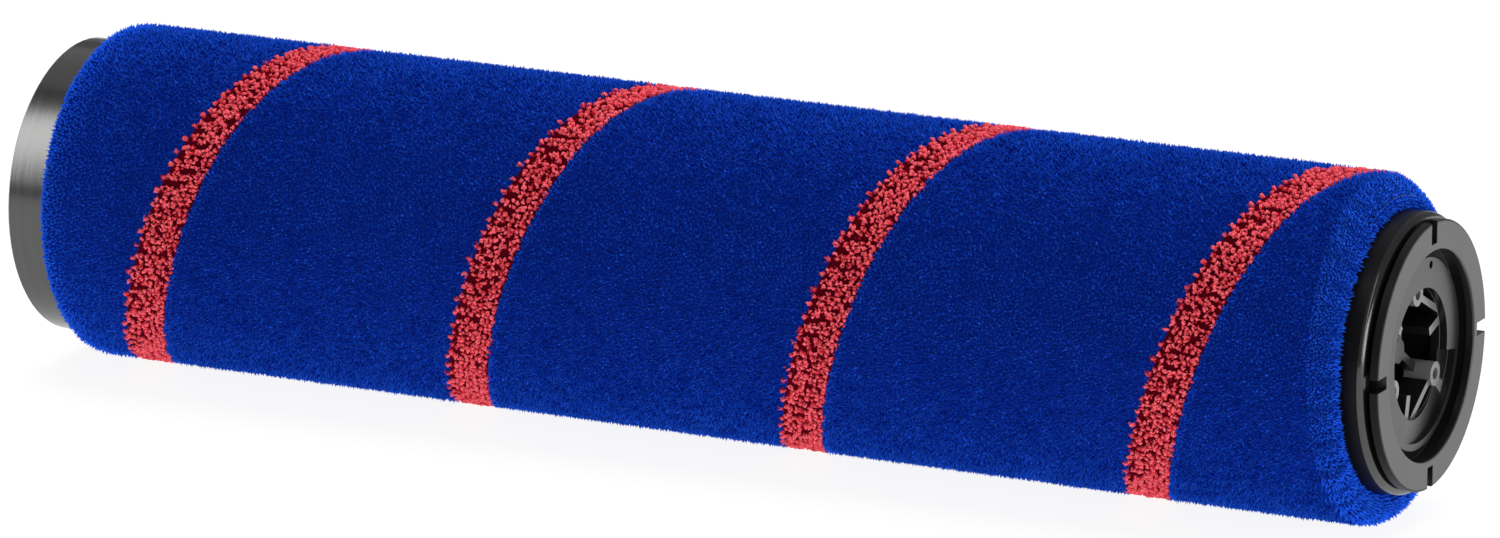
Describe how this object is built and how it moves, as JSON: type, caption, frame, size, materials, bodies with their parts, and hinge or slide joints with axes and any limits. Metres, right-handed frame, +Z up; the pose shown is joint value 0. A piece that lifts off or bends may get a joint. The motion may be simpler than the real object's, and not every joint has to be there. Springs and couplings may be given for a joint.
{
  "type": "vacuum cleaner brush roll",
  "caption": "Soft cylindrical roller for a vacuum cleaner head: plush pile with a spiral stripe wound on a metal tube, with an open motor end and a bayonet bearing end.",
  "frame": {"origin": "on the roll's axis, at the open motor end of the tube", "axes": "+X along the roll's axis towards the bearing end, +Z up from the flat spot that the pile rests on"},
  "size_m": [0.228, 0.052, 0.0517],
  "materials": {
    "aluminium": "turned",
    "blue_pile": "plush pile",
    "red_pile": "tufted pile",
    "black_plastic": "satin",
    "grey_plastic": "satin",
    "bearing_steel": "ground",
    "ball_steel": "polished",
    "screw_steel": "zinc plated",
    "cage_nylon": "moulded",
    "seal_rubber": "matt"
  },
  "bodies": {
    "roll": {"core_tube": "aluminium", "blue_pile": "blue_pile", "red_pile": "red_pile", "end_hub": "black_plastic", "drive_socket": "grey_plastic", "drive_screws": "screw_steel", "bearing_outer_race": "bearing_steel", "bearing_front_seal": "seal_rubber", "bearing_rear_seal": "seal_rubber", "bearing_retainer": "black_plastic"},
    "carrier": {"end_carrier": "black_plastic", "bearing_inner_race": "bearing_steel"},
    "ball_train": {"bearing_cage": "cage_nylon", "bearing_balls": "ball_steel"}
  },
  "joints": [
    {"name": "carrier_spin", "type": "hinge", "parent": "roll", "child": "carrier", "pos_m": [0.2195, 0, 0], "axis": [1, 0, 0], "continuous": true},
    {"name": "ball_train_spin", "type": "hinge", "parent": "roll", "child": "ball_train", "pos_m": [0.2195, 0, 0], "axis": [1, 0, 0], "continuous": true}
  ],
  "couplings": [
    {"joint": "ball_train_spin", "follows": "carrier_spin", "ratio": 0.4435}
  ]
}
